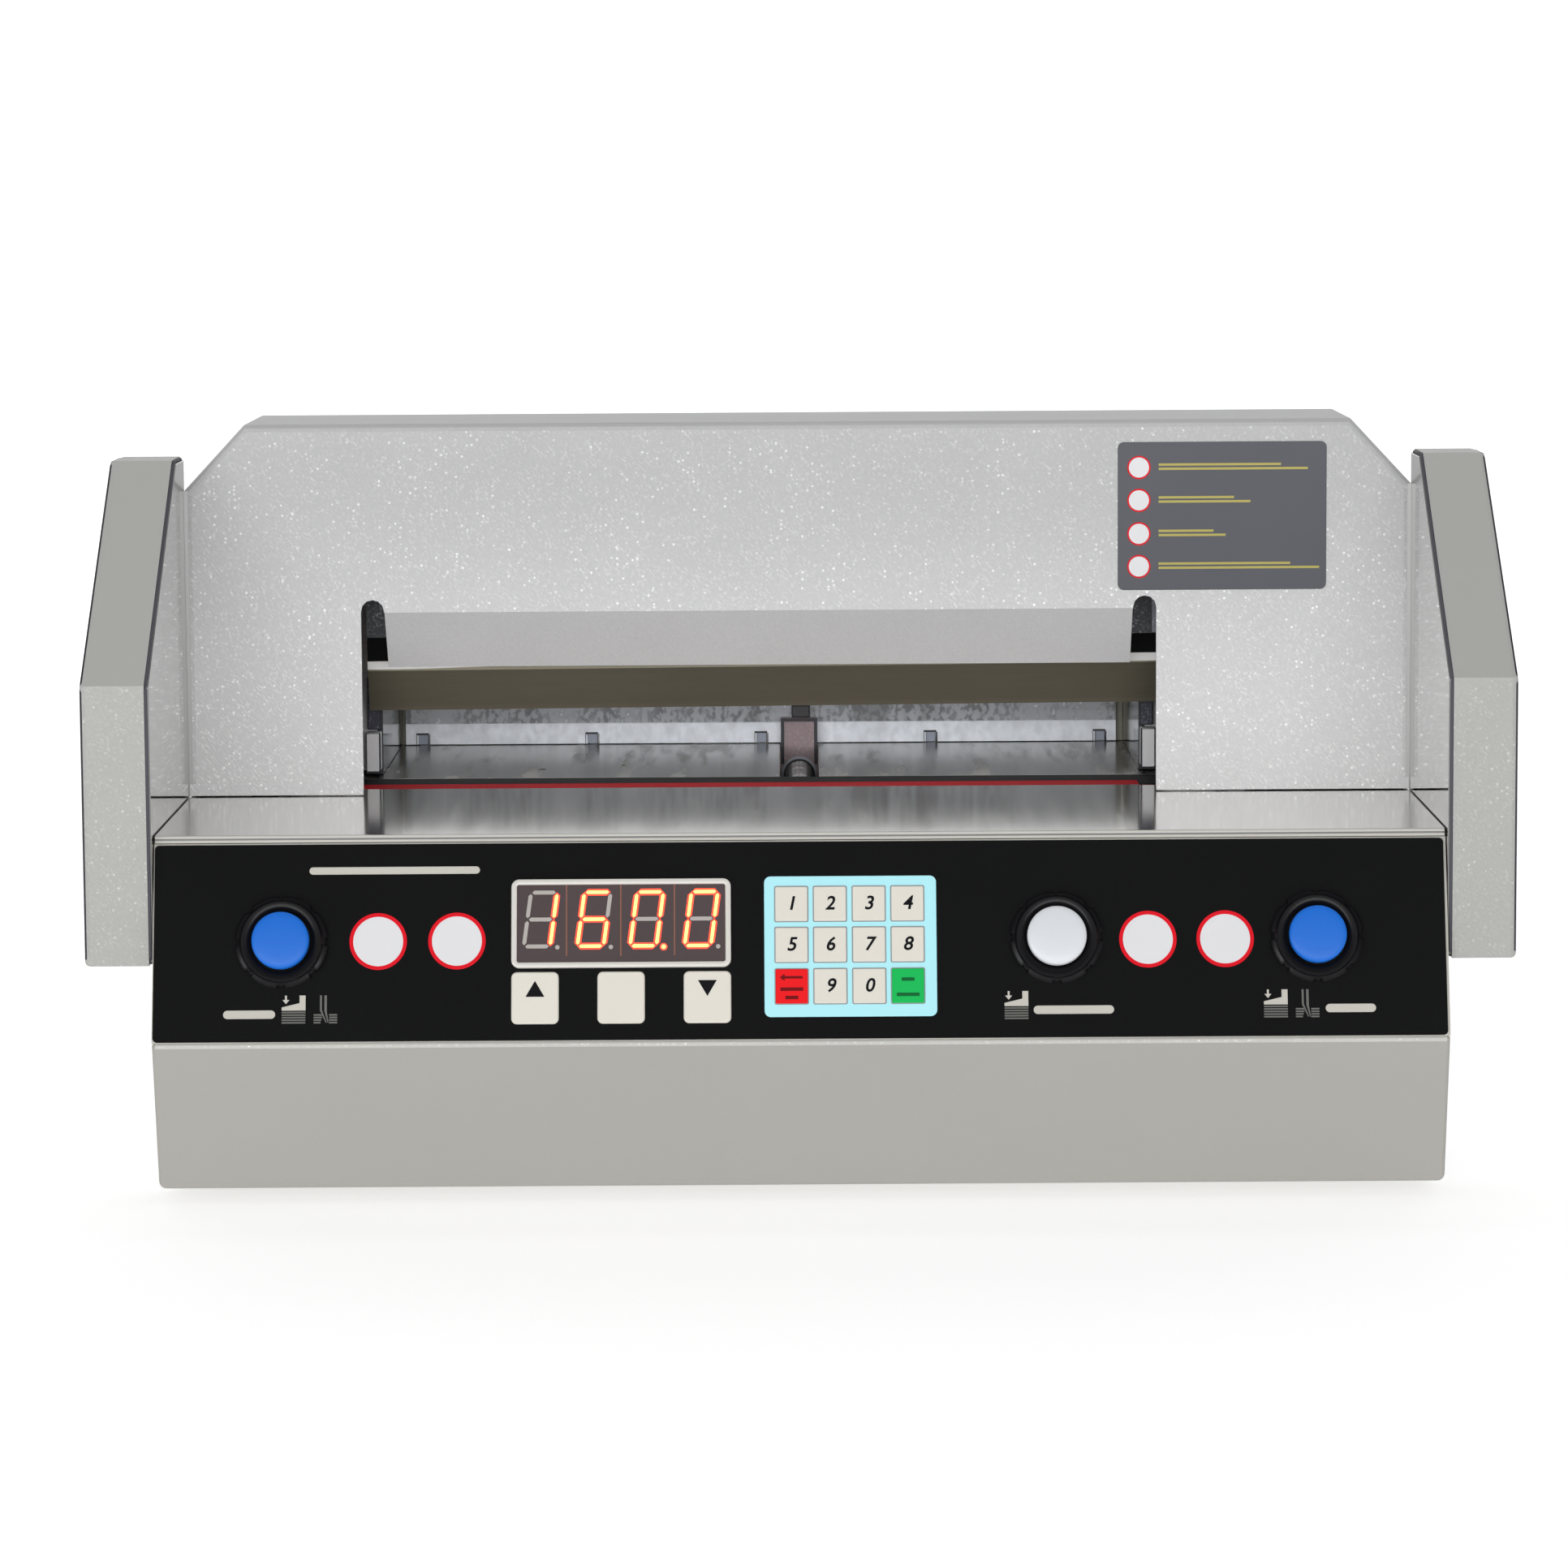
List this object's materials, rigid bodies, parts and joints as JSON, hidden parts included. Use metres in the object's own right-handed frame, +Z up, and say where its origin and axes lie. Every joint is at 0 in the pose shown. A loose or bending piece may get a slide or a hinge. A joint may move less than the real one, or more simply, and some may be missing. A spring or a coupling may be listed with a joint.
{
  "type": "electric paper cutter",
  "caption": "Table-top electric guillotine for paper: motor knife, screw clamp, lead-screw back gauge, sloping push-button console and two side wings.",
  "frame": {"origin": "middle of the machine's outline, on the surface that its feet stand on", "axes": "+X to the operator's right, +Y to the back, +Z up"},
  "size_m": [0.58, 0.5688, 0.3083],
  "materials": {
    "body_paint": "light silver-grey hammered enamel",
    "wing_paint": "silver-grey hammered enamel",
    "cover_grey": "warm grey smooth enamel",
    "console_cream": "cream smooth enamel",
    "bezel_cream": "cream moulded plastic",
    "overlay_black": "glossy black membrane",
    "cap_blue": "moulded blue plastic",
    "cap_white": "moulded white plastic",
    "black_plastic": "moulded black plastic",
    "black_rubber": "moulded rubber",
    "black_paint": "black painted casting",
    "stick_red": "red plastic cutting stick",
    "table_steel": "ground and polished steel",
    "gauge_steel": "ground steel with a bright lower strip",
    "polished_plate": "mirror-polished plate",
    "block_grey": "light grey plastic",
    "cast_iron": "dark painted casting",
    "knife_steel": "oiled tool steel with a ground bevel",
    "machined_steel": "turned and milled steel",
    "cast_aluminium": "cast aluminium",
    "motor_paint": "black motor enamel",
    "carriage_brass": "dull bronze",
    "circuit_board": "green board with black parts"
  },
  "bodies": {
    "root": {"bottom_plate": "cover_grey", "foot_front_left": "black_rubber", "foot_front_right": "black_rubber", "foot_rear_left": "black_rubber", "foot_rear_right": "black_rubber", "side_panel_left": "body_paint", "side_panel_right": "body_paint", "rear_panel": "body_paint", "power_inlet": "black_plastic", "front_table": "table_steel", "cutting_bed": "black_paint", "cutting_stick": "stick_red", "bed_beam": "cast_iron", "rear_table": "table_steel", "side_guide_left": "table_steel", "side_guide_right": "table_steel", "guide_block_left": "block_grey", "guide_block_right": "block_grey", "upper_cover": "body_paint", "upper_rear_panel": "body_paint", "wing_left": "wing_paint", "wing_right": "wing_paint", "wing_plate_left": "polished_plate", "wing_plate_right": "polished_plate", "control_housing": "console_cream", "front_cover": "cover_grey", "panel_overlay": "overlay_black", "display_bezel": "bezel_cream", "button_seat_left": "black_plastic", "button_seat_middle": "black_plastic", "button_seat_right": "black_plastic", "side_frame_left": "cast_iron", "side_frame_right": "cast_iron", "cross_beam": "cast_iron", "guide_roller_left": "machined_steel", "guide_roller_right": "machined_steel", "clamp_gearbox": "cast_aluminium", "clamp_motor": "motor_paint", "knife_gearbox": "cast_aluminium", "knife_motor": "motor_paint", "drive_bracket": "machined_steel", "gauge_motor": "motor_paint", "drive_belt": "black_rubber", "control_board": "circuit_board", "transformer": "machined_steel"},
    "knife_head": {"knife_carrier": "cast_iron", "knife": "knife_steel"},
    "lever": {"lever_shaft": "machined_steel"},
    "link_left": {"pull_link_left": "machined_steel"},
    "link_right": {"pull_link_right": "machined_steel"},
    "clamp": {"clamp_bar": "cast_iron"},
    "clamp_spindle": {"clamp_screw": "machined_steel"},
    "gauge": {"back_gauge": "gauge_steel", "gauge_carriage": "carriage_brass"},
    "gauge_spindle": {"lead_screw": "machined_steel"},
    "gauge_pulley": {"motor_pulley": "machined_steel"},
    "left_cap": {"button_cap_left": "cap_blue"},
    "middle_cap": {"button_cap_middle": "cap_white"},
    "right_cap": {"button_cap_right": "cap_blue"},
    "rocker": {"mains_rocker": "black_plastic"}
  },
  "joints": [
    {"name": "knife_slide", "type": "slide", "parent": "root", "child": "knife_head", "axis": [-0.2383, 0, -0.9712], "range_m": [0, 0.03356]},
    {"name": "lever_turn", "type": "hinge", "parent": "root", "child": "lever", "pos_m": [0, -0.17678, 0.079], "axis": [-1, 0, 0], "range_deg": [0, 25.15]},
    {"name": "link_left_turn", "type": "hinge", "parent": "lever", "child": "link_left", "pos_m": [-0.2, -0.10357, 0.0953], "axis": [-1, 0, 0], "range_deg": [-25.15, 0]},
    {"name": "link_right_turn", "type": "hinge", "parent": "lever", "child": "link_right", "pos_m": [0.182, -0.10357, 0.0953], "axis": [-1, 0, 0], "range_deg": [-25.15, 0]},
    {"name": "clamp_slide", "type": "slide", "parent": "root", "child": "clamp", "axis": [0, 0, -1], "range_m": [0, 0.0375]},
    {"name": "clamp_screw_turn", "type": "hinge", "parent": "root", "child": "clamp_spindle", "pos_m": [-0.017, -0.07532, 0.24], "axis": [0, 0, 1], "range_deg": [0, 3375]},
    {"name": "gauge_slide", "type": "slide", "parent": "root", "child": "gauge", "axis": [0, 1, 0], "range_m": [-0.127, 0.16]},
    {"name": "lead_screw_turn", "type": "hinge", "parent": "root", "child": "gauge_spindle", "pos_m": [0, 0.1, 0.1352], "axis": [0, 1, 0], "range_deg": [-9144, 11520]},
    {"name": "motor_pulley_turn", "type": "hinge", "parent": "root", "child": "gauge_pulley", "pos_m": [0, 0.27, 0.083], "axis": [0, 1, 0], "range_deg": [-11027, 13892]},
    {"name": "left_cap_press", "type": "slide", "parent": "root", "child": "left_cap", "axis": [0, 0.9571, -0.2896], "range_m": [0, 0.003], "stiffness_N_per_m": 400, "springref_m": -0.002},
    {"name": "middle_cap_press", "type": "slide", "parent": "root", "child": "middle_cap", "axis": [0, 0.9571, -0.2896], "range_m": [0, 0.003], "stiffness_N_per_m": 400, "springref_m": -0.002},
    {"name": "right_cap_press", "type": "slide", "parent": "root", "child": "right_cap", "axis": [0, 0.9571, -0.2896], "range_m": [0, 0.003], "stiffness_N_per_m": 400, "springref_m": -0.002},
    {"name": "rocker_tip", "type": "hinge", "parent": "root", "child": "rocker", "pos_m": [0.188, 0.28293, 0.07], "axis": [1, 0, 0], "range_deg": [-16, 0]}
  ],
  "couplings": [
    {"joint": "lever_turn", "follows": "knife_slide", "rad_per_m": 13.053},
    {"joint": "link_left_turn", "follows": "knife_slide", "rad_per_m": -13.053},
    {"joint": "link_right_turn", "follows": "knife_slide", "rad_per_m": -13.053},
    {"joint": "clamp_screw_turn", "follows": "clamp_slide", "rad_per_m": 1570.8},
    {"joint": "lead_screw_turn", "follows": "gauge_slide", "rad_per_m": 1256.6},
    {"joint": "motor_pulley_turn", "follows": "gauge_slide", "rad_per_m": 1515.4}
  ]
}
